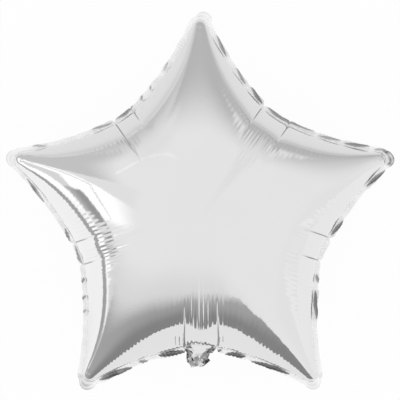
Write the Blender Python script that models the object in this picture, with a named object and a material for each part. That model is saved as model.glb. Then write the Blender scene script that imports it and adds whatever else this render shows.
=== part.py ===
"""Star foil balloon, blown up tight and lying on its back.

The bag is two star-shaped sheets of metallised film, heat-sealed together round the edge.
The star lies flat in X and Y, its top arm towards +Y and its front sheet up, towards +Z.
The origin is the middle of the small flat spot that the back sheet rests on.
All sizes are in metres.
"""
import math

import bmesh
import bpy
import numpy as np

# The bag, measured to its seam line before the star is drawn out top to bottom
ARMS = 5
TIP_REACH = 0.2245        # centre to the point of an arm
TIP_ROUND = 0.009         # radius of the seam's curve round the point
VALLEY_REACH = 0.143      # centre to the middle of a valley between two arms
VALLEY_STRETCH = 0.032    # seam between a valley's two tuck creases
VALLEY_CURVE = 0.088      # radius of the seam's curve between those creases
HALF_DEPTH = 0.088        # seam plane to the crown of either sheet
SWELL_RATIO = 0.85        # height of an arm's section against that of a full half circle
HEIGHT_RATIO = 1.02       # the star's height against that of a regular one
REST_RADIUS = 0.030       # flat spot on the back sheet, centre to rim

# The seam band outside the bag, its round tabs at the arm points, and the filling neck
SEAM_WIDTH = 0.005
SEAM_THICKNESS = 0.0008
SEAM_WAVE = 0.0014        # how far the band's edge waves up and down
SEAM_WAVES = 5            # waves along each side of an arm
TAB_RADIUS = 0.010
TAB_REACH = 0.009         # how far a tab stands out past the arm's point
NECK_LENGTH = 0.025       # seam line to the neck's crumpled end
NECK_WIDTH = 0.030
NECK_TAPER_RATIO = 0.3    # how much shorter the neck is at its sides
NECK_CRUMPLE = 0.0035     # how far its pleats stand up and down

# The film's gathers across the seam, deepest in the valleys
GATHER_DEPTH = 0.0012
GATHER_LENGTH = 0.050     # how far a valley's gathers reach in from the seam
GATHER_RATIO = 0.25       # a gather's length at an arm's point against that
GATHER_POWER = 1.2        # how fast the gathers fade towards the point
CREASE_DEPTH = 0.0040     # tuck crease at each end of a valley's stretch
CREASE_LENGTH = 0.034

# Mesh density over half an arm
VALLEY_COLUMNS = 4        # from a valley's middle to its crease
SIDE_COLUMNS = 15         # from the crease to the curve round the arm's point
TIP_COLUMNS = 5           # round half of that curve
ROWS = 8                  # from the seam to the arm's middle line
ROW_POWER = 1.6           # rows crowd towards the seam
BAND_ROWS = 2             # across the seam band

FIRST_TIP = VALLEY_COLUMNS + SIDE_COLUMNS
COLUMNS = FIRST_TIP + TIP_COLUMNS
HALF_STEP = math.pi / ARMS          # angle from an arm's middle line to a valley
NECK_VALLEY = (ARMS - 1) // 2       # the valley that faces -Y
MERGE_DISTANCE = 0.00001


def seam_side():
    """Half an arm's seam, from the valley's middle to the arm's point.

    Gives each column's plan point, the way out there as an angle from the X axis, and the
    seam's length from the valley's middle. The seam is an arc to the crease, a second one
    along the arm's side, and a tight one round its point.
    """
    half_stretch = VALLEY_STRETCH / 2
    first_step = half_stretch / VALLEY_COLUMNS

    def along(origin, first_lean, radius, length):
        lean = first_lean - length / radius
        x = origin[0] + radius * (math.cos(first_lean) - math.cos(lean))
        y = origin[1] + radius * (math.sin(first_lean) - math.sin(lean))
        return (x, y), lean

    middle = (VALLEY_REACH * math.sin(HALF_STEP), VALLEY_REACH * math.cos(HALF_STEP))
    middle_lean = math.pi / 2 - HALF_STEP
    crease, crease_lean = along(middle, middle_lean, VALLEY_CURVE, half_stretch)
    tip_centre = TIP_REACH - TIP_ROUND
    gap_x, gap_y = crease[0], crease[1] - tip_centre
    gap_out = gap_x * math.cos(crease_lean) + gap_y * math.sin(crease_lean)
    side_curve = (gap_x ** 2 + gap_y ** 2 - TIP_ROUND ** 2) / (2 * (TIP_ROUND - gap_out))
    tip_lean = math.atan2(gap_y + side_curve * math.sin(crease_lean),
                          gap_x + side_curve * math.cos(crease_lean))
    side_length = side_curve * (crease_lean - tip_lean)
    growth = (side_length / SIDE_COLUMNS - first_step) / SIDE_COLUMNS

    columns = []
    for i in range(VALLEY_COLUMNS):
        length = i * first_step
        columns.append((*along(middle, middle_lean, VALLEY_CURVE, length), length))
    for i in range(SIDE_COLUMNS):
        length = i * first_step + growth * i ** 2
        columns.append((*along(crease, crease_lean, side_curve, length), half_stretch + length))
    for i in range(TIP_COLUMNS + 1):
        turn = (math.pi / 2 - tip_lean) * i / TIP_COLUMNS
        lean = tip_lean + turn
        point = (TIP_ROUND * math.cos(lean), tip_centre + TIP_ROUND * math.sin(lean))
        columns.append((point, lean, half_stretch + side_length + TIP_ROUND * turn))
    points, leans, lengths = zip(*columns)
    return np.array(points), np.array(leans), np.array(lengths)


def rib_grid(points, leans):
    """Plan points over half an arm: each column is a straight rib, square to the seam."""
    shares = (np.arange(ROWS + 1) / ROWS) ** ROW_POWER
    ends_y = points[:, 1] - points[:, 0] * np.tan(leans)
    ends = np.stack([np.zeros_like(ends_y), ends_y], axis=1)
    return points[:, None] + shares[None, :, None] * (ends - points)[:, None]


def membrane(grid):
    """Rise of a film under even pressure over half an arm, held down along the seam."""
    columns, rows = grid.shape[:2]
    places = grid.reshape(-1, 2)
    index = np.arange(columns * rows).reshape(columns, rows)
    index[FIRST_TIP:, -1] = index[FIRST_TIP, -1]
    stiffness = np.zeros((len(places), len(places)))
    load = np.zeros(len(places))
    for i in range(columns - 1):
        for j in range(rows - 1):
            a, b = index[i, j], index[i + 1, j]
            c, d = index[i + 1, j + 1], index[i, j + 1]
            for triangle in ([a, b, c], [a, c, d]):
                if len(set(triangle)) < 3:
                    continue
                p = places[triangle]
                edges = np.roll(p, -1, axis=0) - np.roll(p, 1, axis=0)
                area = abs(edges[0, 0] * edges[1, 1] - edges[0, 1] * edges[1, 0]) / 2
                stiffness[np.ix_(triangle, triangle)] += edges @ edges.T / (4 * area)
                load[triangle] += area / 3
    free = np.unique(index[:, 1:])
    rise = np.zeros(len(places))
    rise[free] = np.linalg.solve(stiffness[np.ix_(free, free)], load[free])
    return rise[index]


def crown_heights(grid):
    """Height of the film over the seam plane, round in the arms and flatter in the middle."""
    swell = SWELL_RATIO * np.sqrt(2 * membrane(grid))
    middle = swell[0, -1]
    flattening = 1 / HALF_DEPTH ** 2 - 1 / middle ** 2
    return swell / np.sqrt(1 + flattening * swell ** 2)


def gathered(grid, heights, leans, lengths):
    """The grid and heights with the film drawn in, square to itself, at gathers and creases."""
    outward = np.stack([np.cos(leans), np.sin(leans)], axis=1)
    reach = np.linalg.norm(grid - grid[:, :1], axis=2)
    run = np.gradient(reach, axis=1)
    rise = np.gradient(heights, axis=1)
    size = np.maximum(np.hypot(run, rise), MERGE_DISTANCE)
    strength = (1 - lengths / lengths[-1]) ** GATHER_POWER
    fold_length = GATHER_LENGTH * (GATHER_RATIO + (1 - GATHER_RATIO) * strength)
    folded = np.where(np.arange(len(leans)) % 2 == 0, strength, 0)
    inset = GATHER_DEPTH * folded[:, None] * np.exp(-(reach / fold_length[:, None]) ** 2)
    inset[VALLEY_COLUMNS] += CREASE_DEPTH * np.clip(1 - reach[VALLEY_COLUMNS] / CREASE_LENGTH, 0, 1)
    inset[:, -1] = 0
    drawn_in = grid - outward[:, None] * (inset * rise / size)[..., None]
    lowered = heights - inset * run / size
    lowered[:, 0] = 0
    return drawn_in, lowered


def placed(plan, arm, left):
    """A half arm's plan point or direction at its place in the regular star."""
    angle = arm * 2 * HALF_STEP
    x = -plan[0] if left else plan[0]
    c, s = math.cos(angle), math.sin(angle)
    return np.array([c * x - s * plan[1], s * x + c * plan[1]])


def edge_wave(column, left):
    """Up-and-down wave of the seam band's outer edge, still at the valleys and points."""
    share = column / COLUMNS
    phase = 0.5 * math.pi if left else 0.0
    return SEAM_WAVE * math.sin(math.pi * share) * math.sin(2 * math.pi * SEAM_WAVES * share + phase)


def seam_wave(column, left):
    """The same wave at the seam line, half as high."""
    return edge_wave(column, left) / 2


def add_face(skin, corners, flip):
    """One face between new points, which are merged with their neighbours' points later."""
    points = [skin.verts.new(corner) for corner in corners]
    skin.faces.new(points[::-1] if flip else points)


def add_sheet(skin, grid, levels, left_on_top):
    """One sheet of the bag over all the arms, at the given levels over the seam plane."""
    for arm in range(ARMS):
        for left in (False, True):
            for i in range(COLUMNS):
                for j in range(ROWS):
                    corners = []
                    for column, row in ((i, j), (i + 1, j), (i + 1, j + 1), (i, j + 1)):
                        x, y = placed(grid[column, row], arm, left)
                        lift = seam_wave(column, left) if row == 0 else 0.0
                        corners.append((x, y, levels[column, row] + lift))
                    add_face(skin, corners, left == left_on_top)


def seam_band(grid, leans, lengths):
    """The seam band's columns, anticlockwise: seam point, way out, width, rise at each edge."""
    columns = []
    for arm in range(ARMS):
        for left in (False, True):
            valley = arm if left else (arm - 1) % ARMS
            for i in range(COLUMNS - 1, -1, -1) if left else range(COLUMNS + 1):
                width = tab_width(leans[i]) if i > FIRST_TIP else SEAM_WIDTH
                rise = edge_wave(i, left)
                if valley == NECK_VALLEY and lengths[i] < NECK_WIDTH / 2:
                    from_middle = 2 * lengths[i] / NECK_WIDTH
                    width = NECK_LENGTH * (1 - NECK_TAPER_RATIO * from_middle ** 2)
                    rise = NECK_CRUMPLE if i % 2 else -NECK_CRUMPLE
                way = placed((math.cos(leans[i]), math.sin(leans[i])), arm, left)
                columns.append((placed(grid[i, 0], arm, left), way, width, seam_wave(i, left), rise))
    return columns


def tab_width(lean):
    """Width of the band round an arm's point, where it widens into the round tab."""
    tab_centre = TIP_ROUND + TAB_REACH - TAB_RADIUS
    out = tab_centre * math.sin(lean) + math.sqrt(TAB_RADIUS ** 2 - (tab_centre * math.cos(lean)) ** 2)
    return max(SEAM_WIDTH, out - TIP_ROUND)


def add_band(skin, columns):
    """The seam band as a thin solid strip, which joins both sheets along the seam line."""
    half = SEAM_THICKNESS / 2
    loops = []
    for base, way, width, seam_rise, edge_rise in columns:
        line = []
        for share in np.linspace(0, 1, BAND_ROWS + 1):
            x, y = base + way * width * share
            z = seam_rise + (edge_rise - seam_rise) * share
            line.append(((x, y, z + half), (x, y, z - half)))
        loops.append(line)
    for here, there in zip(loops, loops[1:] + loops[:1]):
        for row in range(BAND_ROWS):
            top = [here[row][0], here[row + 1][0], there[row + 1][0], there[row][0]]
            under = [here[row][1], here[row + 1][1], there[row + 1][1], there[row][1]]
            add_face(skin, top, False)
            add_face(skin, under, True)
        add_face(skin, [here[-1][0], here[-1][1], there[-1][1], there[-1][0]], False)


def foil_material():
    """Bright silver metallised film."""
    material = bpy.data.materials.new("silver_foil")
    material.use_nodes = True
    shader = material.node_tree.nodes["Principled BSDF"]
    shader.inputs["Base Color"].default_value = (0.86, 0.86, 0.87, 1.0)
    shader.inputs["Metallic"].default_value = 1.0
    shader.inputs["Roughness"].default_value = 0.12
    material.diffuse_color = (0.80, 0.80, 0.82, 1.0)
    return material


def build_balloon():
    """The whole balloon as one closed skin, raised so that its flat spot is at zero."""
    seam, leans, lengths = seam_side()
    ribs = rib_grid(seam, leans)
    grid, heights = gathered(ribs, crown_heights(ribs), leans, lengths)
    front = np.maximum(heights, SEAM_THICKNESS / 2)
    rest_depth = np.interp(REST_RADIUS, np.linalg.norm(grid[0, ::-1], axis=1), heights[0, ::-1])
    skin = bmesh.new()
    add_sheet(skin, grid, front, True)
    add_sheet(skin, grid, -np.minimum(front, rest_depth), False)
    add_band(skin, seam_band(grid, leans, lengths))
    bmesh.ops.remove_doubles(skin, verts=skin.verts, dist=MERGE_DISTANCE)
    bmesh.ops.triangulate(skin, faces=skin.faces)
    bmesh.ops.scale(skin, verts=skin.verts, vec=(1.0, HEIGHT_RATIO, 1.0))
    bmesh.ops.translate(skin, verts=skin.verts, vec=(0.0, 0.0, rest_depth))
    mesh = bpy.data.meshes.new("foil_balloon")
    skin.to_mesh(mesh)
    skin.free()
    mesh.shade_smooth()
    mesh.materials.append(foil_material())
    bpy.context.scene.collection.objects.link(bpy.data.objects.new("foil_balloon", mesh))


for old in list(bpy.data.objects):
    bpy.data.objects.remove(old)
build_balloon()
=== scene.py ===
"""Star foil balloon: mirror film with its gathers, seam band, point tabs and filling neck.

The balloon lies on its back, front sheet up, and the camera looks straight down on it. The swell
is worked out over half an arm and repeated round the star. The gathers, tucks and curls differ
from arm to arm: the first arm is the top one, and the others follow round to the left. Lengths
are in metres.
"""
import math

import bmesh
import bpy
import numpy as np
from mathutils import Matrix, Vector


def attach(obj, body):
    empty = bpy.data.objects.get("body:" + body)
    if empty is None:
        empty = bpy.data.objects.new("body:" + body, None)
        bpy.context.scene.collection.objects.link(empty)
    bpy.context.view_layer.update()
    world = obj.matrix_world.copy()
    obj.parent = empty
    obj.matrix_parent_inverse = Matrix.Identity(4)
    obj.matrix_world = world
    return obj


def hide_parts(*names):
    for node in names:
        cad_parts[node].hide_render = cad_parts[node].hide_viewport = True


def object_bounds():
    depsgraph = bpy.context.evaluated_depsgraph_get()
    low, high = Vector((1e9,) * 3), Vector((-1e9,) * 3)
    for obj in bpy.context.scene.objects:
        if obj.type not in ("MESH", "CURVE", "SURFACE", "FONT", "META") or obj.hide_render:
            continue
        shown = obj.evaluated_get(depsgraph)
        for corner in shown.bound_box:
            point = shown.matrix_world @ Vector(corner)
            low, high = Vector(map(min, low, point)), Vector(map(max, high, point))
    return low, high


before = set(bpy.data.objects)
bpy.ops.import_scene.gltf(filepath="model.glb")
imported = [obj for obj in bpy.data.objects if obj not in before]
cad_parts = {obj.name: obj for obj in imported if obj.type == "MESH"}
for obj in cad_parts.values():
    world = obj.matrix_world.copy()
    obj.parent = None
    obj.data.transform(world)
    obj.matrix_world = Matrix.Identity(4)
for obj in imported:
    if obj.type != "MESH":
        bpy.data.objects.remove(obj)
cad_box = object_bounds()

# The bag, measured to its seam line before the star is drawn out top to bottom
ARMS = 5
TIP_REACH = 0.2245        # centre to the point of an arm
TIP_ROUND = 0.009         # radius of the seam's curve round the point
VALLEY_REACH = 0.143      # centre to the middle of a valley between two arms
VALLEY_STRETCH = 0.032    # seam of a valley that keeps its own curve
VALLEY_CURVE = 0.088      # radius of that curve
HALF_DEPTH = 0.088        # seam plane to the crown of either sheet
SWELL_RATIO = 0.85        # height of an arm's section against that of a full half circle
HEIGHT_RATIO = 1.02       # the star's height against that of a regular one
STILL_LENGTH = 0.016      # seam before a point over which gathers and waves die out

# The seam band and the round tabs at the arm points
SEAM_WIDTH = 0.005
SEAM_THICKNESS = 0.0003
TAB_RADIUS = 0.010
TAB_REACH = 0.009         # how far a tab stands out past the arm's point
TAB_SHIFTS = (0.004, -0.001, -0.003, 0.002, 0.002)  # sideways, arm by arm
TAB_CURL = 0.0022
TAB_CURL_START = 0.006    # seam from the side's end over which that curl sets in
TAB_SHADES = (0.20, 0.25, 0.60, 0.25, 1.00)  # how dark their rings of painted shade are, arm by arm
TAB_SHADE_START = 0.004   # seam from the side's end over which the rings set in
TAB_RINGS = (0.45, 0.95)  # where across a tab they lie
RING_SPREAD = 0.15        # how wide they are, as a share of the tab
RING_STRAY = 0.06         # how far they stray
RING_GAP_SHADE = 0.2      # how dark the painted shade on a tab is between its rings
BAND_WAVE = 0.0007        # long waves of the band's outer edge
SEAM_WAVE_SHARE = 0.4     # the seam line's waves against those
SEAM_WAVE_REACH = 0.004   # how far they reach into the film
BAND_PUCKER = 0.00005     # short puckers of the band, one a gather
BAND_BEND = 1.3           # above 1, the band curls most at its outer edge
BAND_UNEVEN = 0.04        # how much its width varies
NOTCH_DEPTH = 0.45        # how much a tuck narrows the band
NOTCH_SPREAD = 0.002
NOTCH_FLAT = 0.0015       # seam beside a tuck over which the band lies flat

# The dark leaf shape of painted shade on each curl of the band, in shares of the band's width,
# and the thin painted highlight along it
LEAF_EDGE = 0.10          # its soft edge
LEAF_LEAST = 0.12         # its half width where the curl is next to nothing
LEAF_GROWTH = 105         # how much that grows with the curl's height
LEAF_ENDS = 0.6           # below 1, its ends are blunt
LEAF_MIDDLE = 0.60        # where across the band it lies
LEAF_SLANT = 0.22
LEAF_FULL_CURL = 0.003    # height of the curls that are fully dark
LINE_SHIFT = -0.12
LINE_SPREAD = 0.09
LINE_STRENGTH = 0.3

# The film's gathers across the seam. For each arm, on its right and on its left side: how deep
# they are, as a share, and how fast they fade towards the point
GATHER_PITCH = 0.0045
GATHER_DEPTH = 0.00085
GATHERS = (((0.35, 1.8), (0.00, 1.8)),
           ((0.25, 1.8), (1.00, 1.6)),
           ((0.80, 4.0), (1.90, 1.5)),
           ((1.90, 1.5), (0.45, 1.8)),
           ((0.50, 1.8), (0.40, 1.8)))
GATHER_LENGTHS = (0.040, 0.044, 0.064, 0.050, 0.050)  # how far in, from the upper left valley
GATHER_LEAST = 0.08       # how deep they are at a point, against at a valley
GATHER_SHORTEST = 0.15    # how long they are where they are next to nothing
CREASE_DEPTHS = (0.75, 1.25)  # depth of the creases between them, least and greatest
CREASE_LENGTHS = (0.88, 1.06)
VALLEY_BLEND = 0.012      # seam from a valley's middle over which its two sides' gathers blend
GATHER_SLACK = 0.5        # how deep they are near the seam between two tucks
SLACK_LENGTH = 0.010      # seam past a tuck over which they reach their full depth
SLACK_REACH = (0.010, 0.035)  # how far in from the seam they do
BROAD_DEPTH = 0.0002      # the broader swells between groups of gathers
RIB_STRAIGHT = 0.020      # seam from a valley's middle whose gathers run straight in
RIB_FAN = 0.045           # seam over which they then turn square to it

# A tuck crease at each end of a valley: for each arm, on its right and on its left side, how
# far it is from the valley's middle, how far it runs in, how deep a hollow it pulls, and how
# wide that hollow is towards the arm
TUCKS = (((0.016, 0.036, 0.0010, 0.008), (0.009, 0.022, 0.0004, 0.008)),
         ((0.015, 0.052, 0.0004, 0.008), (0.019, 0.026, 0.0010, 0.008)),
         ((0.007, 0.022, 0.0010, 0.008), (0.017, 0.054, 0.0050, 0.050)),
         ((0.020, 0.054, 0.0048, 0.035), (0.002, 0.028, 0.0010, 0.008)),
         ((0.026, 0.040, 0.0010, 0.008), (0.020, 0.028, 0.0010, 0.008)))
TUCK_DEPTH = 0.0017
TUCK_SPREAD = 0.0008
TUCK_OVERRUN = 1.2        # where its depth is nothing, against its length
TUCK_FADE = 1.2           # how its depth fades inwards
TUCK_PULL_SPREAD = 0.008  # how wide the hollow is towards the valley's middle
TUCK_PULL_REACH = 0.010   # from the seam to where the hollow is deepest
TUCK_PULL_EDGE = 2.5      # how steep the hollow's edge is along the seam
TUCK_SHADE = 0.0005       # half width of the line of painted shade in its bottom
TUCK_SHADE_END = (0.35, 0.75)  # shares of its length over which that line ends
MIDDLE_STILL = 0.004      # seam beside a valley's middle over which the tucks' pull sets in

# Where the seam band's outer edge curls up to the front, or back where less than nothing: for
# each arm, on its right and on its left side, start and end along the seam from the valley's
# middle, and how far
CURLS = (
    (((0.000, 0.012, 0.0024), (0.018, 0.042, 0.0028), (0.048, 0.070, 0.0022), (0.086, 0.114, 0.0024)),
     ((0.000, 0.014, 0.0024), (0.024, 0.030, 0.0020), (0.040, 0.045, 0.0018), (0.066, 0.079, 0.0014))),
    (((0.000, 0.014, 0.0024), (0.018, 0.044, 0.0020), (0.098, 0.116, 0.0016)),
     ((0.000, 0.018, -0.0024), (0.022, 0.040, -0.0024), (0.076, 0.112, -0.0024))),
    (((0.000, 0.007, -0.0022), (0.022, 0.028, 0.0024), (0.042, 0.047, 0.0024), (0.058, 0.062, 0.0020)),
     ((0.017, 0.050, -0.0044), (0.062, 0.074, -0.0024), (0.082, 0.124, -0.0044))),
    (((0.020, 0.026, -0.0026), (0.030, 0.055, -0.0038), (0.061, 0.110, -0.0036)),
     ((0.018, 0.028, 0.0024), (0.036, 0.070, 0.0030))),
    (((0.029, 0.052, 0.0030), (0.098, 0.128, 0.0030)),
     ((0.000, 0.052, 0.0024), (0.056, 0.084, 0.0020), (0.087, 0.118, 0.0026), (0.122, 0.141, 0.0020))),
)
CURL_EASE = 0.004         # seam over which a curl starts and ends
HIGHEST_CURL = 0.0044
CURL_WIDENING = 0.45      # how much wider the band is there

# The filling neck: a flattened, crumpled tube out of the valley that faces -Y
NECK_WIDTH = 0.040
NECK_STUB = 0.025         # width of its lower half
NECK_NARROWS = (0.1, 0.5)  # shares of its length over which it narrows to that
NECK_END = 0.52           # its end's width, as a share of that
NECK_SHIFT = -0.0028      # how far that half leans to one side
NECK_LENGTH = 0.0262
NECK_TOP = 0.003 - VALLEY_REACH
NECK_THICKNESS = 0.007
NECK_TOP_THIN = 0.4       # its thickness at the top, as a share of that
NECK_END_THIN = 0.5       # and at its end
NECK_CRUMPLE = 0.0015     # how far its points stray where it is crumpled most
NECK_STRAY = (0.7, 0.7, 1.3)  # across, along and up
NECK_SMOOTH = (0.013, 0.005)  # half width of its smooth middle, at the top and lower down
NECK_SMOOTH_EDGE = 0.004
NECK_FACET_EDGE = 0.003   # the same for its facets of painted shade
NECK_DARK_FLANK = 0.90    # how many facets of its flanks get painted shade
NECK_DARK_MIDDLE = 0.20   # and of its lower middle
NECK_SHADES = (0.45, 1)   # how dark that painted shade is
NECK_SIDES = 22
NECK_RINGS = 9

# The film: its own tones, the milky one of the seam band and the dark one of its painted shade
FILM_DARK = (0.90, 0.90, 0.905, 1)
FILM_LIGHT = (0.94, 0.94, 0.94, 1)
FILM_MILKY = (0.99, 0.99, 0.99, 1)
FILM_PAINTED_SHADE = (0.24, 0.24, 0.25, 1)

FLOOR_SIZE = 30
FLOOR_SHADOW = 0.06       # how much of the balloon's shadow shows on it

# Mesh density
COARSE_VALLEY = 8
COARSE_SIDE = 28
COARSE_TIP = 6
COARSE_ROWS = 22
FRONT_ROWS = 36
BACK_ROWS = 12
BAND_ROWS = 7
TIP_COLUMNS = 12
GATHER_STEPS = 5          # columns to a gather
ROW_POWER = 1.6           # above 1, rows crowd towards the seam
TUCK_POWER = 1.8          # above 1, columns crowd towards the tuck
MIDDLE_SHARE = 0.99       # how far the rows reach in towards the arm's middle line

HALF_STEP = math.pi / ARMS
MERGE_DISTANCE = 0.000002
TINY = 1e-7               # stands in for a length of nothing
CAMERA_HEIGHT = 2.2
PIXEL = 0.00115           # metres a pixel of the photo at the seam plane
PHOTO_SIDE = 400
STAR_CENTRE_ROW = 219     # the star's centre in the photo, in pixels from the top

SEAM_Z = cad_box[1].z - HALF_DEPTH
rng = np.random.default_rng(18)


class Seam:
    """Half an arm's seam line, from the valley's middle to the arm's point.

    It is an arc round the valley, a second one along the arm's side, and a tight one round
    the arm's point. A lean is the way out at a point, as an angle from the X axis.
    """

    def __init__(self):
        self.valley_end = VALLEY_STRETCH / 2
        self.middle = (VALLEY_REACH * math.sin(HALF_STEP), VALLEY_REACH * math.cos(HALF_STEP))
        self.middle_lean = math.pi / 2 - HALF_STEP
        x, y, lean = self.arc(self.middle, self.middle_lean, VALLEY_CURVE, self.valley_end)
        self.side_start, self.side_lean = (x, y), lean
        self.tip_centre = TIP_REACH - TIP_ROUND
        gap_x, gap_y = x, y - self.tip_centre
        gap_out = gap_x * math.cos(lean) + gap_y * math.sin(lean)
        self.side_curve = (gap_x ** 2 + gap_y ** 2 - TIP_ROUND ** 2) / (2 * (TIP_ROUND - gap_out))
        self.tip_lean = math.atan2(gap_y + self.side_curve * math.sin(lean),
                                   gap_x + self.side_curve * math.cos(lean))
        side_length = self.side_curve * (lean - self.tip_lean)
        self.side_end = self.valley_end + side_length
        self.length = self.side_end + TIP_ROUND * (math.pi / 2 - self.tip_lean)
        self.first_step = self.valley_end / COARSE_VALLEY
        self.growth = (side_length / COARSE_SIDE - self.first_step) / COARSE_SIDE

    @staticmethod
    def arc(origin, first_lean, radius, length):
        lean = first_lean - length / radius
        x = origin[0] + radius * (math.cos(first_lean) - np.cos(lean))
        y = origin[1] + radius * (math.sin(first_lean) - np.sin(lean))
        return x, y, lean

    def at(self, lengths):
        """Plan points and leans at lengths of seam from the valley's middle."""
        valley = self.arc(self.middle, self.middle_lean, VALLEY_CURVE, lengths)
        side = self.arc(self.side_start, self.side_lean, self.side_curve, lengths - self.valley_end)
        tip_lean = self.tip_lean + (lengths - self.side_end) / TIP_ROUND
        tip = (TIP_ROUND * np.cos(tip_lean), self.tip_centre + TIP_ROUND * np.sin(tip_lean), tip_lean)
        where = [lengths < self.valley_end, lengths < self.side_end]
        x, y, lean = (np.select(where, parts[:2], parts[2]) for parts in zip(valley, side, tip))
        return np.stack([x, y], axis=-1), lean

    def rib_leans(self, lengths, leans):
        """Which way the ribs run: straight in from a valley's middle, then square to the seam."""
        fanned = eased(lengths, RIB_STRAIGHT, RIB_STRAIGHT + RIB_FAN)
        return blend(fanned, self.middle_lean, leans)

    def coarse_lengths(self):
        steps = np.arange(COARSE_SIDE)
        side = self.valley_end + steps * self.first_step + self.growth * steps ** 2
        tip = np.linspace(self.side_end, self.length, COARSE_TIP + 1)
        return np.concatenate([np.arange(COARSE_VALLEY) * self.first_step, side, tip])

    def coarse_index(self, lengths):
        """The coarse grid's fractional column at each length."""
        past = np.maximum(lengths - self.valley_end, 0)
        root = np.sqrt(self.first_step ** 2 + 4 * self.growth * past)
        side = COARSE_VALLEY + (root - self.first_step) / (2 * self.growth)
        tip = (lengths - self.side_end) / (self.length - self.side_end) * COARSE_TIP
        return np.select([lengths < self.valley_end, lengths < self.side_end],
                         [lengths / self.first_step, side], COARSE_VALLEY + COARSE_SIDE + tip)


def rib_ends(points, leans):
    """Where each rib meets the arm's middle line."""
    y = points[:, 1] - points[:, 0] * np.tan(leans)
    return np.stack([np.zeros_like(y), y], axis=1)


def membrane(grid, first_tip):
    """Rise of a film under even pressure over half an arm, held down along the seam."""
    columns, rows = grid.shape[:2]
    places = grid.reshape(-1, 2)
    index = np.arange(columns * rows).reshape(columns, rows)
    index[first_tip:, -1] = index[first_tip, -1]
    stiffness = np.zeros((len(places), len(places)))
    load = np.zeros(len(places))
    for i in range(columns - 1):
        for j in range(rows - 1):
            a, b = index[i, j], index[i + 1, j]
            c, d = index[i + 1, j + 1], index[i, j + 1]
            for triangle in ([a, b, c], [a, c, d]):
                if len(set(triangle)) < 3:
                    continue
                p = places[triangle]
                edges = np.roll(p, -1, axis=0) - np.roll(p, 1, axis=0)
                area = abs(edges[0, 0] * edges[1, 1] - edges[0, 1] * edges[1, 0]) / 2
                stiffness[np.ix_(triangle, triangle)] += edges @ edges.T / (4 * area)
                load[triangle] += area / 3
    free = np.unique(index[:, 1:])
    rise = np.zeros(len(places))
    rise[free] = np.linalg.solve(stiffness[np.ix_(free, free)], load[free])
    return rise[index]


def smooth_between(values, at, mirrored):
    """Values along the first axis at fractional places, on a curve through them.

    The values go on past both ends, mirrored there or else in a straight line.
    """
    first, last = (values[1:2], values[-2:-1]) if mirrored else (
        2 * values[:1] - values[1:2], 2 * values[-1:] - values[-2:-1])
    padded = np.concatenate([first, values, last])
    i = np.clip(np.floor(at).astype(int), 0, len(values) - 2)
    t = (at - i).reshape(-1, *[1] * (values.ndim - 1))
    before, a, b, after = (padded[i + k] for k in range(4))
    return 0.5 * (2 * a + (b - before) * t + (2 * before - 5 * a + 4 * b - after) * t ** 2
                  + (3 * a - before - 3 * b + after) * t ** 3)


class Crown:
    """Heights of the film over the seam plane, read from one coarse membrane."""

    def __init__(self, seam):
        lengths = seam.coarse_lengths()
        points, leans = seam.at(lengths)
        ends = rib_ends(points, seam.rib_leans(lengths, leans))
        shares = (np.arange(COARSE_ROWS + 1) / COARSE_ROWS) ** ROW_POWER
        grid = points[:, None] + shares[None, :, None] * (ends - points)[:, None]
        reach = np.linalg.norm(grid - grid[:, :1], axis=2)
        rise = membrane(grid, COARSE_VALLEY + COARSE_SIDE)
        self.slope = np.zeros_like(rise)
        self.slope[:, 1:] = rise[:, 1:] / reach[:, 1:]
        self.slope[:, 0] = 2 * self.slope[:, 1] - self.slope[:, 2]
        middle = SWELL_RATIO * math.sqrt(2 * rise[0, -1])
        self.flattening = 1 / HALF_DEPTH ** 2 - 1 / middle ** 2

    def heights(self, columns, reach):
        rows = reach.shape[1] - 1
        slope = smooth_between(self.slope, columns, True)
        last_row = COARSE_ROWS * MIDDLE_SHARE ** (1 / ROW_POWER)
        slope = smooth_between(slope.T, np.linspace(0, last_row, rows + 1), False).T
        swell = SWELL_RATIO * np.sqrt(2 * np.maximum(slope * reach, 0))
        return swell / np.sqrt(1 + self.flattening * swell ** 2)


class Waves:
    """A smooth random wave along the whole seam, the same again after one turn of the star."""

    def __init__(self, total, longest, shortest):
        counts = np.arange(math.ceil(total / longest), math.floor(total / shortest) + 1)
        self.turns = 2 * math.pi * counts / total
        self.phases = rng.uniform(0, 2 * math.pi, len(counts))
        sizes = rng.uniform(0.3, 1.0, len(counts))
        self.sizes = sizes / math.sqrt((sizes ** 2).sum() / 2)

    def at(self, place):
        return (self.sizes * np.cos(np.multiply.outer(place, self.turns) + self.phases)).sum(axis=-1)


def eased(value, low, high):
    """Smooth step of value from 0 at low to 1 at high."""
    t = np.clip((value - low) / (high - low), 0, 1)
    return t * t * (3 - 2 * t)


def blend(share, first, last):
    """First where share is 0, last where it is 1."""
    return first + (last - first) * share


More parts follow.
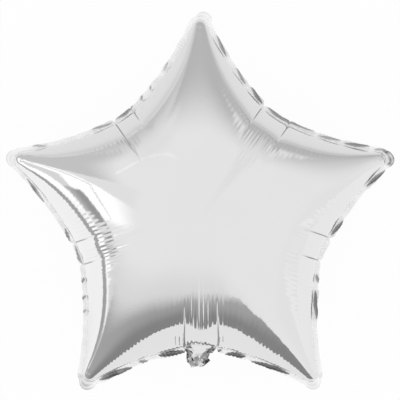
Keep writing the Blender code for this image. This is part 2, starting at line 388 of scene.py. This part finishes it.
class HalfArm:
    """One half of one arm, with every column from the valley's middle to the arm's point."""

    def __init__(self, balloon, arm, left):
        self.balloon, self.arm, self.left = balloon, arm, left
        self.valley = arm if left else (arm - 1) % ARMS
        self.facing = (arm + 1 if left else arm - 1) % ARMS
        self.tuck, self.tuck_length, self.pull, self.pull_spread = TUCKS[arm][left]
        self.gather, self.gather_fade = GATHERS[arm][left]
        self.curls = CURLS[arm][left]
        self.notched = not any(start < self.tuck < end for start, end, _ in self.curls)
        self.place_columns()
        seam = balloon.seam
        self.points, self.leans = seam.at(self.lengths)
        self.columns = seam.coarse_index(self.lengths)
        self.ends = rib_ends(self.points, seam.rib_leans(self.lengths, self.leans))
        start = arm * 2 * seam.length
        self.along = start + (2 * seam.length - self.lengths if left else self.lengths)
        self.to_point = seam.side_end - self.lengths
        self.still = eased(self.to_point, 0.0, STILL_LENGTH)
        self.from_middle = eased(self.lengths, 0.0, min(self.tuck, MIDDLE_STILL))
        self.off_tuck = np.abs(self.lengths - self.tuck)

    @staticmethod
    def gather_widths(total):
        """Uneven widths of the gathers that fill this much seam."""
        some = rng.uniform(0.93, 1.07, max(1, round(total / GATHER_PITCH)))
        return list(some * total / some.sum())

    def place_columns(self):
        """Columns on every gather, each with the folds of the creases before and after it.

        Each gather runs between two creases, and the tuck is one of the creases. A fold is a
        crease's share of depth and its share of length.
        """
        seam = self.balloon.seam
        widths = self.gather_widths(self.tuck)
        before_tuck = len(widths)
        widths += self.gather_widths(seam.side_end - self.tuck)
        starts = np.concatenate([[0], np.cumsum(widths)])
        depths = rng.uniform(*CREASE_DEPTHS, len(starts))
        crease_lengths = rng.uniform(*CREASE_LENGTHS, len(starts))
        folds = np.stack([depths, crease_lengths], axis=1)
        folds[0] = self.balloon.valley_folds[self.valley]
        steps = np.arange(GATHER_STEPS) / GATHER_STEPS
        lengths, places, first, second = [], [], [], []
        for k, width in enumerate(widths):
            share = steps
            if k == before_tuck:
                share = steps ** TUCK_POWER
            elif k == before_tuck - 1:
                share = 1 - (1 - steps) ** TUCK_POWER
            lengths.append(starts[k] + width * share)
            places.append(share)
            first += [folds[k]] * GATHER_STEPS
            second += [folds[k + 1]] * GATHER_STEPS
        tip = np.linspace(seam.side_end, seam.length, TIP_COLUMNS + 1)
        self.lengths = np.concatenate([*lengths, tip])
        self.place = np.concatenate([*places, np.full(len(tip), 0.5)])
        self.fold = np.array(first + [folds[-1]] * len(tip))
        self.next_fold = np.array(second + [folds[-1]] * len(tip))

    def gathers(self, reach):
        """How far the gathers and the broader swells draw the film in."""
        balloon = self.balloon
        to_valley = np.clip(self.to_point / balloon.seam.side_end, 0, 1)
        strength = blend(to_valley ** self.gather_fade, GATHER_LEAST, 1)
        full_length = GATHER_LENGTHS[self.valley]
        length = full_length * blend(strength, GATHER_SHORTEST, 1)

        def faded(fold):
            return fold[:, :1] * np.exp(-(reach / (fold[:, 1] * length)[:, None]) ** 3)

        place = self.place[:, None]
        folds = faded(self.fold) * (1 - place) + faded(self.next_fold) * place
        facing = GATHERS[self.facing][not self.left][0]
        away = eased(self.lengths, 0, VALLEY_BLEND)
        share = self.gather * away + min(self.gather, facing) * (1 - away)
        wave = 0.5 + 0.5 * np.cos(2 * math.pi * self.place)
        slack = blend(eased(self.lengths, self.tuck, self.tuck + SLACK_LENGTH), GATHER_SLACK, 1)
        slack = blend(eased(reach, *SLACK_REACH), slack[:, None], 1)
        inset = (GATHER_DEPTH * share * strength * wave)[:, None] * folds * slack
        broad = balloon.broad.at(self.along) * BROAD_DEPTH * strength * share
        return inset + broad[:, None] * np.exp(-(reach / full_length) ** 2)

    def tuck_crease(self, reach):
        """How far the tuck's own crease draws the film in."""
        depth = TUCK_DEPTH * self.from_middle * np.exp(-self.off_tuck / TUCK_SPREAD)
        inward = np.clip(1 - reach / (TUCK_OVERRUN * self.tuck_length), 0, 1)
        return depth[:, None] * inward ** TUCK_FADE

    def tuck_hollow(self, reach):
        """How far the tuck pulls the film in on both sides of its crease."""
        spread = np.where(self.lengths > self.tuck, self.pull_spread, TUCK_PULL_SPREAD)
        depth = self.pull * self.from_middle * np.exp(-(self.off_tuck / spread) ** TUCK_PULL_EDGE)
        return depth[:, None] * (reach / TUCK_PULL_REACH * np.exp(1 - reach / TUCK_PULL_REACH))

    def inset(self, reach):
        """How far the film is drawn in at each point, from the seam inwards."""
        inset = self.gathers(reach) + self.tuck_crease(reach) + self.tuck_hollow(reach)
        ends = np.linalg.norm(self.ends - self.points, axis=1)
        share = reach / np.maximum(ends, TINY)[:, None]
        return inset * np.clip(1 - share, 0, 1) * self.still[:, None]

    def shade(self, reach):
        """How much painted shade darkens the film in the bottom of the tuck."""
        line = np.exp(-(self.off_tuck / TUCK_SHADE) ** 2)
        return line[:, None] * (1 - eased(reach / self.tuck_length, *TUCK_SHADE_END))

    def film(self, rows):
        """Plan points, heights and reach of one sheet over this half arm.

        Both sheets stand upright on the seam, so that they meet the band at the same points.
        """
        shares = MIDDLE_SHARE * (np.arange(rows + 1) / rows) ** ROW_POWER
        plan = self.points[:, None] + shares[None, :, None] * (self.ends - self.points)[:, None]
        reach = np.linalg.norm(plan - plan[:, :1], axis=2)
        heights = self.balloon.crown.heights(self.columns, reach)
        run = np.gradient(reach, axis=1)
        run[:, 0] = 0
        rise = np.gradient(heights, axis=1)
        size = np.maximum(np.hypot(run, rise), TINY)
        inset = self.inset(reach)
        outward = np.stack([np.cos(self.leans), np.sin(self.leans)], axis=1)
        plan = plan - outward[:, None] * (inset * rise / size)[..., None]
        heights = np.maximum(heights - inset * run / size, 0)
        heights[:, 0] = 0
        return plan, heights, reach

    def curl(self):
        """How far the band's outer edge curls to the front, without its waves."""
        rise = np.zeros_like(self.lengths)
        for start, end, height in self.curls:
            ease = min(CURL_EASE, (end - start) / 2)
            inside = eased(self.lengths, start - ease / 2, start + ease / 2 if start else start)
            rise += height * inside * (1 - eased(self.lengths, end - ease, end + ease))
        return rise

    def leaves(self, shares):
        """How dark the painted shade on the band is, from 0 to 1, at shares of its width.

        Each curl is a slanting leaf of painted shade with a thin painted highlight along it, and each
        tab has rings of painted shade.
        """
        dark = np.zeros((len(self.lengths), len(shares)))
        for start, end, height in self.curls:
            first = start if start else -end
            along = np.clip((self.lengths - first) / (end - first), 0, 1)
            half = (LEAF_LEAST + LEAF_GROWTH * abs(height)) * np.sin(math.pi * along) ** LEAF_ENDS
            middle = LEAF_MIDDLE - math.copysign(LEAF_SLANT, height) * np.cos(math.pi * along)
            off = shares - middle[:, None]
            leaf = np.clip((half[:, None] - np.abs(off)) / LEAF_EDGE, 0, 1)
            leaf = leaf * min(1, abs(height) / LEAF_FULL_CURL)
            line = LINE_STRENGTH * np.exp(-((off - LINE_SHIFT) / LINE_SPREAD) ** 2)
            dark = np.maximum(dark, leaf * (1 - line))
        wobble = self.balloon.tab_wave.at(self.along)
        stray = RING_STRAY * wobble[:, None]
        rings = sum(np.exp(-((shares - place - stray) / RING_SPREAD) ** 2) for place in TAB_RINGS)
        tab = TAB_SHADES[self.arm] * eased(-self.to_point, 0.0, TAB_SHADE_START)
        tab = tab * np.clip(0.75 + 0.3 * wobble, 0.2, 1)
        return np.maximum(dark, tab[:, None] * blend(rings, RING_GAP_SHADE, 1))

    def seam_rise(self):
        return self.still * self.balloon.long_wave.at(self.along) * BAND_WAVE * SEAM_WAVE_SHARE

    def edge_rise(self):
        wave = self.balloon.long_wave.at(self.along) * BAND_WAVE
        pucker = BAND_PUCKER * (1 - 2 * np.sin(math.pi * self.place)) * self.fold[:, 0]
        near_tuck = np.exp(-self.off_tuck / NOTCH_FLAT)
        return self.still * (wave + pucker + self.curl()) * (1 - near_tuck * self.notched)

    def band_width(self):
        """Width of the band, which widens to the round tab and is drawn in at the tuck."""
        side = TAB_SHIFTS[self.arm] * (-1 if self.left else 1)
        out = TIP_ROUND + TAB_REACH - TAB_RADIUS
        c, s = np.cos(self.leans), np.sin(self.leans)
        tab = side * c + out * s + np.sqrt(TAB_RADIUS ** 2 - (side * s - out * c) ** 2) - TIP_ROUND
        wave = self.balloon.long_wave.at(self.along + 0.05)
        width = SEAM_WIDTH * (1 + BAND_UNEVEN * wave)
        width = width * (1 + CURL_WIDENING * (self.curl() / HIGHEST_CURL) ** 2)
        notch = np.exp(-self.off_tuck / NOTCH_SPREAD) * self.notched
        width = width * (1 - NOTCH_DEPTH * notch)
        return np.where(self.to_point < 0, np.maximum(tab, SEAM_WIDTH), width)

    def placed(self, plan):
        """Plan points of this half arm where they lie in the star."""
        x = plan[..., 0] * (-1 if self.left else 1)
        angle = self.arm * 2 * HALF_STEP
        c, s = math.cos(angle), math.sin(angle)
        return np.stack([c * x - s * plan[..., 1], s * x + c * plan[..., 1]], axis=-1)


class Balloon:
    """The whole skin of the bag."""

    def __init__(self):
        self.seam = Seam()
        self.crown = Crown(self.seam)
        total = 2 * ARMS * self.seam.length
        self.broad = Waves(total, 0.030, 0.011)
        self.long_wave = Waves(total, 0.060, 0.016)
        depths = rng.uniform(0.8, 1.2, ARMS)
        lengths = rng.uniform(0.9, 1.2, ARMS)
        self.valley_folds = np.stack([depths, lengths], axis=1)
        self.halves = [HalfArm(self, arm, left) for arm in range(ARMS) for left in (False, True)]
        self.tab_wave = Waves(total, 0.030, 0.009)
        self.verts, self.dulls, self.seals = [], [], []
        self.quads, self.triangles = [], []
        self.count = 0

    def add_grid(self, points, flip, dull, seal):
        """A grid of points and the quads between them, with how much painted shade darkens them and how
        sealed they are.

        It gives back the points' indices.
        """
        columns, rows = points.shape[:2]
        index = self.count + np.arange(columns * rows).reshape(columns, rows)
        quads = np.stack([index[:-1, :-1], index[1:, :-1], index[1:, 1:], index[:-1, 1:]], axis=-1)
        quads = quads.reshape(-1, 4)
        self.verts.append(points.reshape(-1, 3))
        self.dulls.append(dull.reshape(-1))
        self.seals.append(np.full(columns * rows, seal))
        self.quads.append(quads[:, ::-1] if flip else quads)
        self.count += columns * rows
        return index

    def add_sheets(self):
        """The front and the back sheet, each of ten halves of arms round one centre point."""
        for rows, front in ((FRONT_ROWS, True), (BACK_ROWS, False)):
            level = HALF_DEPTH if front else -SEAM_Z
            centre = self.add_grid(np.array([[[0.0, 0.0, level]]]), False, np.zeros(1), 0.0)[0, 0]
            for right, left in zip(self.halves[::2], self.halves[1::2]):
                right_edge, right_places = self.add_half(right, rows, front)
                left_edge, left_places = self.add_half(left, rows, front)
                self.join(right_edge[:-1], right_places[:-1],
                          [centre, *left_edge], [0.0, *left_places], front)

    def add_half(self, half, rows, front):
        """One sheet over half an arm. Gives its inner edge and how far out along the arm it is."""
        plan, heights, reach = half.film(rows)
        levels = np.maximum(heights, SEAM_THICKNESS / 2)
        if not front:
            levels = -np.minimum(levels, SEAM_Z)
        levels = levels + half.seam_rise()[:, None] * np.exp(-reach / SEAM_WAVE_REACH)
        points = np.concatenate([half.placed(plan), levels[..., None]], axis=-1)
        # The tuck's line of painted shade goes in with this grid
        index = self.add_grid(points, half.left == front, half.shade(reach), 0.0)
        return index[:, -1], plan[:, -1, 1]

    def join(self, right, right_places, left, left_places, front):
        """The narrow strip of triangles over an arm's middle line, between its two halves."""
        i = j = 0
        last_i, last_j = len(right) - 1, len(left) - 1
        while i < last_i or j < last_j:
            if i < last_i and (j == last_j or right_places[i + 1] < left_places[j + 1]):
                corners = (right[i], right[i + 1], left[j])
                i += 1
            else:
                corners = (right[i], left[j + 1], left[j])
                j += 1
            self.triangles.append(corners if front else corners[::-1])

    def add_band(self):
        """The seam band, a thin strip that joins both sheets along the seam line."""
        parts = []
        shares = np.linspace(0, 1, BAND_ROWS + 1)
        for half in self.halves:
            plan, _, _ = half.film(FRONT_ROWS)
            base = half.placed(plan[:, 0])
            way = half.placed(np.stack([np.cos(half.leans), np.sin(half.leans)], axis=1))
            rises = np.stack([half.seam_rise(), half.edge_rise()], axis=1)
            tab = eased(-half.to_point, 0.0, TAB_CURL_START) * TAB_CURL
            rises[:, 1] += tab * self.tab_wave.at(half.along)
            out = way * half.band_width()[:, None]
            # The band's leaves and tab rings of painted shade
            part = np.concatenate([base, out, rises, half.leaves(shares)], axis=1)
            parts.append(part[-2::-1] if half.left else part)
        band = np.concatenate([*parts, parts[0][:1]])
        base, out, seam_rise, edge_rise, dull = np.split(band, [2, 4, 5, 6], axis=1)
        plan = base[:, None] + out[:, None] * shares[None, :, None]
        rise = seam_rise + (edge_rise - seam_rise) * shares ** BAND_BEND
        half_thick = SEAM_THICKNESS / 2
        top = np.concatenate([plan, (rise + half_thick)[..., None]], axis=-1)
        under = np.concatenate([plan, (rise - half_thick)[..., None]], axis=-1)
        self.add_grid(top, True, dull, 1.0)
        self.add_grid(under, False, dull, 1.0)
        rim = np.stack([top[:, -1], under[:, -1]], axis=1)
        self.add_grid(rim, True, np.repeat(dull[:, -1:], 2, axis=1), 1.0)

    def make(self, name):
        """The skin as one closed mesh at its place in the frame."""
        self.add_sheets()
        self.add_band()
        verts = np.concatenate(self.verts)
        verts[:, 1] *= HEIGHT_RATIO
        verts[:, 2] += SEAM_Z
        mesh = bpy.data.meshes.new(name)
        faces = np.concatenate(self.quads).tolist() + self.triangles
        mesh.from_pydata(verts.tolist(), [], faces)
        for attribute, values in (("dull", self.dulls), ("seal", self.seals)):
            data = mesh.attributes.new(attribute, "FLOAT", "POINT").data
            data.foreach_set("value", np.concatenate(values))
        skin = bmesh.new()
        skin.from_mesh(mesh)
        bmesh.ops.remove_doubles(skin, verts=skin.verts, dist=MERGE_DISTANCE)
        skin.to_mesh(mesh)
        skin.free()
        mesh.shade_smooth()
        piece = bpy.data.objects.new(name, mesh)
        bpy.context.scene.collection.objects.link(piece)
        return piece


def smooth_half(t):
    """Half the width of the neck's smooth middle, at a share of its length from the top."""
    return blend(eased(t, 0.0, 0.45), *NECK_SMOOTH)


def neck(name):
    """The filling neck: a flattened tube, smooth in its upper middle and crumpled elsewhere."""
    tube = bmesh.new()
    rings = []
    for i in range(NECK_RINGS + 1):
        t = i / NECK_RINGS
        lower = eased(t, *NECK_NARROWS)
        half_width = blend(lower, NECK_WIDTH, NECK_STUB) / 2
        half_width *= blend(eased(t, 0.75, 1.05), 1, NECK_END)
        half_thick = NECK_THICKNESS / 2 * blend(t, NECK_TOP_THIN, 1)
        half_thick *= blend(eased(t, 0.8, 1.0), 1, NECK_END_THIN)
        smooth = smooth_half(t)
        ring = []
        for j in range(NECK_SIDES):
            turn = 2 * math.pi * (j + i % 2 / 2) / NECK_SIDES
            x, z = half_width * math.cos(turn), half_thick * math.sin(turn)
            loose = max(eased(abs(x), smooth, smooth + NECK_SMOOTH_EDGE), eased(t, 0.40, 0.65))
            loose *= eased(t, 0.0, 0.25)
            stray = rng.normal(size=3) * NECK_STRAY * NECK_CRUMPLE * loose
            x += NECK_SHIFT * lower
            y = NECK_TOP * HEIGHT_RATIO - NECK_LENGTH * t
            ring.append(tube.verts.new((x + stray[0], y + stray[1], z + stray[2] + SEAM_Z)))
        rings.append(ring)
    for i, (upper, lower) in enumerate(zip(rings, rings[1:])):
        for j in range(NECK_SIDES):
            k = (j + 1) % NECK_SIDES
            if i % 2:
                corners = ((upper[j], upper[k], lower[k]), (upper[j], lower[k], lower[j]))
            else:
                corners = ((upper[j], upper[k], lower[j]), (upper[k], lower[k], lower[j]))
            for triangle in corners:
                tube.faces.new(triangle)
    for ring in (rings[0], rings[-1]):
        middle = tube.verts.new(sum((v.co for v in ring), Vector()) / NECK_SIDES)
        for j in range(NECK_SIDES):
            tube.faces.new((ring[j], ring[(j + 1) % NECK_SIDES], middle))
    bmesh.ops.recalc_face_normals(tube, faces=tube.faces)
    # Painted shade: dark facets on the flanks and a few in the lower middle
    dull = tube.faces.layers.float.new("dull")
    for face in tube.faces:
        middle = face.calc_center_median()
        t = (NECK_TOP * HEIGHT_RATIO - middle.y) / NECK_LENGTH
        off = abs(middle.x - NECK_SHIFT * eased(t, *NECK_NARROWS))
        flank = eased(off, smooth_half(t), smooth_half(t) + NECK_FACET_EDGE)
        in_middle = NECK_DARK_MIDDLE * (1 - flank) * eased(t, 0.4, 0.6)
        chance = NECK_DARK_FLANK * flank + in_middle
        face[dull] = rng.uniform(*NECK_SHADES) * (rng.random() < chance)
    mesh = bpy.data.meshes.new(name)
    tube.to_mesh(mesh)
    tube.free()
    piece = bpy.data.objects.new(name, mesh)
    bpy.context.scene.collection.objects.link(piece)
    return piece


class Nodes:
    """Short calls to make and link shader nodes."""

    def __init__(self, tree):
        self.tree = tree

    def add(self, kind, inputs=(), **settings):
        node = self.tree.nodes.new(kind)
        for name, value in settings.items():
            setattr(node, name, value)
        for name, value in dict(inputs).items():
            if isinstance(value, bpy.types.NodeSocket):
                self.tree.links.new(value, node.inputs[name])
            else:
                node.inputs[name].default_value = value
        return node

    def math(self, operation, a, b=0.0):
        return self.add("ShaderNodeMath", {0: a, 1: b}, operation=operation).outputs[0]

    def plus(self, a, b):
        return self.math("ADD", a, b)

    def minus(self, a, b):
        return self.math("SUBTRACT", a, b)

    def times(self, *factors):
        product = factors[0]
        for factor in factors[1:]:
            product = self.math("MULTIPLY", product, factor)
        return product

    def ramp(self, value, low, high, first=0.0, last=1.0, kind="SMOOTHSTEP"):
        """A smooth step of value from low to high, giving first to last."""
        inputs = {"Value": value, "From Min": low, "From Max": high, "To Min": first, "To Max": last}
        return self.add("ShaderNodeMapRange", inputs, interpolation_type=kind).outputs["Result"]

    def ramp_line(self, value, low, high, first=0.0, last=1.0):
        """A straight step of value from low to high, giving first to last."""
        return self.ramp(value, low, high, first, last, "LINEAR")

    def between(self, value, low, high, soft):
        """1 where value is from low to high, 0 elsewhere, with soft edges."""
        return self.times(self.ramp(value, low - soft, low + soft),
                          self.ramp(value, high - soft, high + soft, 1.0, 0.0))

    def mix(self, factor, a, b):
        """Number a where factor is 0, b where it is 1."""
        node = self.add("ShaderNodeMix", {"Factor": factor, "A": a, "B": b}, data_type="FLOAT")
        return node.outputs["Result"]

    def mix_colour(self, factor, a, b):
        """Colour a where factor is 0, b where it is 1."""
        return self.add("ShaderNodeMix", {"Factor": factor, 6: a, 7: b}, data_type="RGBA").outputs[2]

    def mix_shader(self, factor, a, b):
        """Shader a where factor is 0, b where it is 1."""
        return self.add("ShaderNodeMixShader", {0: factor, 1: a, 2: b}).outputs[0]

    def grey(self, tone):
        return self.add("ShaderNodeCombineColor", {"Red": tone, "Green": tone, "Blue": tone}).outputs[0]


def film_material():
    """Silver metallised film, mirror-bright with a faint orange peel.

    It is darkened with painted shade in the tucks, on the band's curls and tab rings and on the
    neck's facets, and frosted and milky in the seam band.
    """
    material = bpy.data.materials.new("silver_foil")
    material.use_nodes = True
    nodes = Nodes(material.node_tree)
    link = material.node_tree.links.new
    shader = material.node_tree.nodes["Principled BSDF"]
    place = nodes.add("ShaderNodeTexCoord").outputs["Object"]
    cloud = nodes.add("ShaderNodeTexNoise", {"Vector": place, "Scale": 9.0, "Detail": 3.0})
    cloud = cloud.outputs["Fac"]
    dull = nodes.add("ShaderNodeAttribute", attribute_name="dull").outputs["Fac"]
    seal = nodes.add("ShaderNodeAttribute", attribute_name="seal").outputs["Fac"]
    tone = nodes.mix_colour(cloud, FILM_DARK, FILM_LIGHT)
    tone = nodes.mix_colour(seal, tone, FILM_MILKY)
    # Painted shade: the dark tone laid over the film in the tucks, on the band's curls and tab rings
    # and on the neck's facets
    tone = nodes.mix_colour(dull, tone, FILM_PAINTED_SHADE)
    link(tone, shader.inputs["Base Color"])
    frosted = nodes.times(seal, nodes.minus(1.0, dull))
    link(nodes.mix(frosted, 1.0, 0.03), shader.inputs["Metallic"])
    rough = nodes.ramp(cloud, 0.3, 0.7, 0.04, 0.075)
    link(nodes.mix(seal, rough, 0.35), shader.inputs["Roughness"])
    peel = nodes.add("ShaderNodeTexNoise", {"Vector": place, "Scale": 260.0, "Detail": 2.0})
    bump = nodes.add("ShaderNodeBump", {"Height": peel.outputs["Fac"], "Strength": 0.05,
                                        "Distance": 0.0006})
    link(bump.outputs["Normal"], shader.inputs["Normal"])
    return material


class Room(Nodes):
    """The room that the front of the balloon mirrors, as a tone for each way out from it.

    Angles are in degrees: polar from straight up off the front sheet, and about from the left,
    over the lower side. A span of angles is its start, its end and its soft edge. Each part is
    laid over the ones before it, and has its tone last, where the white backdrop's is 1.
    """

    def __init__(self, tree):
        super().__init__(tree)
        way = self.add("ShaderNodeTexCoord").outputs["Generated"]
        x, y, z = self.add("ShaderNodeSeparateXYZ", {"Vector": way}).outputs
        degrees = 180 / math.pi
        self.polar = self.times(self.math("ARCCOSINE", z), degrees)
        leftward, downward = self.times(x, -1), self.times(y, -1)
        self.about = self.times(self.math("ARCTAN2", downward, leftward), degrees)
        self.tone = 0.84
        self.upper_wall()
        self.upper_lines()
        self.window()
        self.stand()
        self.lower_side()
        self.left_foot()

    def lay(self, share, tone):
        """Give the room this tone where share is 1."""
        self.tone = self.mix(share, self.tone, tone)

    def patch(self, about, polar):
        """1 inside a span of about and a span of polar."""
        return self.times(self.between(self.about, *about),
                          self.between(self.polar, *polar))

    def upper_wall(self):
        """The greyer wall above, which starts highest over the top arm and bends down from it."""
        about = self.about
        from_top = self.plus(about, 89)
        bend = self.ramp(about, -100, -78, 0.0032, 0.0100)
        start = self.plus(self.times(from_top, from_top, bend), 36)
        tone = self.ramp(about, -140, -124, 0.62, 0.495)
        self.lay(self.ramp(self.minus(self.polar, start), 0, 33), tone)

    def upper_lines(self):
        """Light streaks on that wall, and a side wall to the left of them.

        Then come its light foot, a thin rail, a thin line that climbs, and two skirtings.
        """
        about, polar = self.about, self.polar
        self.lay(self.patch((-63, -49, 4), (42, 62, 6)), 0.80)
        thin = self.times(self.between(about, -57.5, -51.5, 1.5), self.ramp(polar, 55, 61))
        self.lay(thin, self.ramp_line(polar, 62, 82, 0.77, 0.60))
        right = self.times(self.between(about, -131, -124.5, 2.5), self.ramp(polar, 80, 70))
        self.lay(right, 0.78)
        below_slant = self.ramp(self.minus(polar, self.minus(8, about)), 0, 20)
        self.lay(self.times(below_slant, self.between(about, -52, -26, 1.5)), 0.58)
        self.lay(self.patch((-56, -49, 2), (86.5, 95, 0.8)), 0.72)
        self.lay(self.patch((-48, -36, 2), (46.6, 48.2, 0.8)), 0.95)
        off_line = self.minus(polar, self.plus(self.times(about, 1.07), 99.5))
        climb = self.times(self.between(off_line, -0.9, 0.9, 0.7),
                           self.between(about, -64, -50, 2))
        self.lay(climb, 0.91)
        skirting = (86, 91, 1)
        self.lay(self.patch((-170, -134, 6), skirting), 0.30)
        self.lay(self.patch((-30, -20, 4), skirting), 0.42)

    def window(self):
        """The bright window at the left, with a bar, an upright and a grey foot."""
        about, polar = self.about, self.polar
        past_edge = self.minus(about, self.minus(12, self.times(polar, 0.55)))
        self.lay(self.patch((-26, 14, 2), (30, 72, 3)), 0.80)
        glow = self.times(self.ramp(past_edge, -1.5, 1), self.ramp(about, 14, 8),
                          self.ramp(polar, 26, 46), self.ramp(polar, 73, 71))
        self.lay(glow, 1.13)
        off_bar = self.minus(polar, self.minus(50.3, self.times(about, 0.19)))
        bar = self.times(self.between(off_bar, -0.5, 0.5, 0.3),
                         self.between(about, -12.5, 9, 0.5))
        self.lay(bar, 0.62)
        upright = self.times(self.between(past_edge, 2, 3.4, 0.4),
                             self.between(polar, 52.5, 71, 0.5))
        self.lay(upright, 0.62)
        self.lay(self.patch((-15, 6, 1.5), (65, 71.5, 1)), 0.72)

    def stand(self):
        """The dark stand before the window, with a slanting upper edge and a slanting top."""
        about, polar = self.about, self.polar
        edge = self.plus(self.times(self.minus(polar, 58), 0.7), -4)
        past_top = self.plus(self.times(about, 0.27), self.minus(polar, 59.2))
        stand = self.times(self.ramp(self.minus(about, edge), -1.5, 1.5),
                           self.ramp(about, 15.5, 13),
                           self.ramp(past_top, -1.2, 1.2), self.ramp(polar, 72, 69))
        self.lay(stand, self.ramp(polar, 62, 70, 0.33, 0.50))

    def lower_side(self):
        """The broad dark area below, with a shade before it and its deepest part at its foot.

        The far right is slightly duller, with a paler upright in it.
        """
        about, polar = self.about, self.polar
        lobe = self.math("POWER", self.ramp_line(about, 23, 73, 1, 0), 1.6)
        past_start = self.minus(polar, self.plus(self.times(lobe, 26), 40))
        right_edge = self.plus(self.times(self.minus(polar, 45), 0.33), 109.5)
        inside = self.times(self.ramp(about, 21.5, 24),
                            self.ramp(self.minus(about, right_edge), 0.7, -0.7))
        shade = self.times(self.ramp(about, 15, 21), self.ramp(about, 122, 94),
                           self.ramp(past_start, -26, 0))
        self.lay(shade, 0.73)
        full = self.ramp(about, 91, 98, 15, 9)
        self.lay(self.times(inside, self.ramp(past_start, -3, full)), 0.38)
        deep = self.math("MAXIMUM", self.ramp(about, 45, 85), self.ramp(about, 90, 94))
        self.lay(self.times(inside, self.ramp(past_start, 8, 34), deep), 0.24)
        dim = self.times(self.between(about, 135, 178, 8), self.ramp(polar, 52, 64))
        self.lay(dim, 0.82)
        upright = self.times(self.between(about, 158, 163, 1.5), self.ramp(polar, 60, 68))
        self.lay(upright, 0.88)

    def left_foot(self):
        """A white post and sill under the window, and the dark skirting under them."""
        about, polar = self.about, self.polar
        self.lay(self.patch((15.5, 18.2, 0.7), (70, 81, 1.5)), 1)
        left = self.between(about, -25, 24, 5)
        sill_top = self.ramp(about, 16.5, 19, 72.5, 78)
        on_sill = self.times(self.ramp(self.minus(polar, sill_top), -0.8, 0.8),
                             self.ramp(polar, 81.8, 80.2))
        self.lay(self.times(left, on_sill), self.ramp(about, 9, 17, 1.2, 1))
        self.lay(self.times(left, self.between(polar, 82.2, 90.5, 0.8)), 0.38)


def studio():
    """A white backdrop, and the room in its place where the film mirrors it."""
    world = bpy.data.worlds.new("studio")
    bpy.context.scene.world = world
    world.use_nodes = True
    tree = world.node_tree
    tree.nodes.clear()
    room = Room(tree)
    mirrored = room.add("ShaderNodeLightPath").outputs["Is Glossy Ray"]
    colour = room.grey(room.mix(mirrored, 1, room.tone))
    background = room.add("ShaderNodeBackground", {"Color": colour, "Strength": 1})
    out = room.add("ShaderNodeOutputWorld")
    tree.links.new(background.outputs[0], out.inputs["Surface"])


def floor_tone(nodes):
    """How bright the floor is where the film mirrors it, by the way it lies from the balloon."""
    place = nodes.add("ShaderNodeNewGeometry").outputs["Position"]
    x, y, _ = nodes.add("ShaderNodeSeparateXYZ", {"Vector": place}).outputs
    away = nodes.add("ShaderNodeVectorMath", {0: place}, operation="LENGTH").outputs["Value"]
    rightward, upward = nodes.math("DIVIDE", x, away), nodes.math("DIVIDE", y, away)
    near = nodes.ramp(rightward, -0.8, 0.2, 0.95, 0.87)
    near = nodes.mix(nodes.ramp(upward, 0.1, 0.5), near, 0.79)
    near = nodes.mix(nodes.ramp(upward, -0.3, -0.8), near, 0.82)
    speck = nodes.add("ShaderNodeTexNoise", {"Vector": place, "Scale": 90, "Detail": 2})
    near = nodes.times(near, nodes.ramp_line(speck.outputs["Fac"], 0.3, 0.7, 0.95, 1.05))
    far = nodes.ramp(rightward, -0.75, -0.2, 0.70, 0.60)
    is_far = nodes.times(nodes.ramp(away, 0.25, 1.6), nodes.ramp(upward, -0.1, 0.6))
    return nodes.mix(is_far, near, far)


def floor():
    """The pale floor that the balloon lies on. The camera sees it white, with a faint shadow."""
    bpy.ops.mesh.primitive_plane_add(size=FLOOR_SIZE)
    ground = bpy.context.object
    ground.name = "floor"
    material = bpy.data.materials.new("pale_floor")
    material.use_nodes = True
    tree = material.node_tree
    tree.nodes.clear()
    nodes = Nodes(tree)
    matt = nodes.add("ShaderNodeBsdfDiffuse", {"Color": (0.9, 0.9, 0.9, 1)}).outputs[0]
    white = nodes.add("ShaderNodeEmission", {"Color": (1, 1, 1, 1), "Strength": 1.0}).outputs[0]
    pale = nodes.add("ShaderNodeEmission", {"Color": nodes.grey(floor_tone(nodes)), "Strength": 1.0})
    path = nodes.add("ShaderNodeLightPath").outputs
    mirrored = nodes.mix_shader(path["Is Glossy Ray"], matt, pale.outputs[0])
    seen = nodes.mix_shader(FLOOR_SHADOW, white, matt)
    out = nodes.add("ShaderNodeOutputMaterial")
    tree.links.new(nodes.mix_shader(path["Is Camera Ray"], mirrored, seen), out.inputs["Surface"])
    ground.data.materials.append(material)


def camera():
    """Looks straight down on the front sheet, with the photo's framing."""
    data = bpy.data.cameras.new("camera")
    data.lens = data.sensor_width * CAMERA_HEIGHT / (PHOTO_SIDE * PIXEL)
    view = bpy.data.objects.new("camera", data)
    up = (STAR_CENTRE_ROW - PHOTO_SIDE / 2) * PIXEL
    view.location = (0.0, up, SEAM_Z + CAMERA_HEIGHT)
    bpy.context.scene.collection.objects.link(view)
    bpy.context.scene.camera = view


foil = film_material()
skin = Balloon().make("foil_skin")
skin.data.materials.append(foil)
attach(skin, "root")
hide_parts("foil_balloon")

filling_neck = neck("filling_neck")
filling_neck.data.materials.append(foil)
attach(filling_neck, "root")

floor()
studio()
camera()
bpy.context.scene.view_settings.view_transform = "Standard"
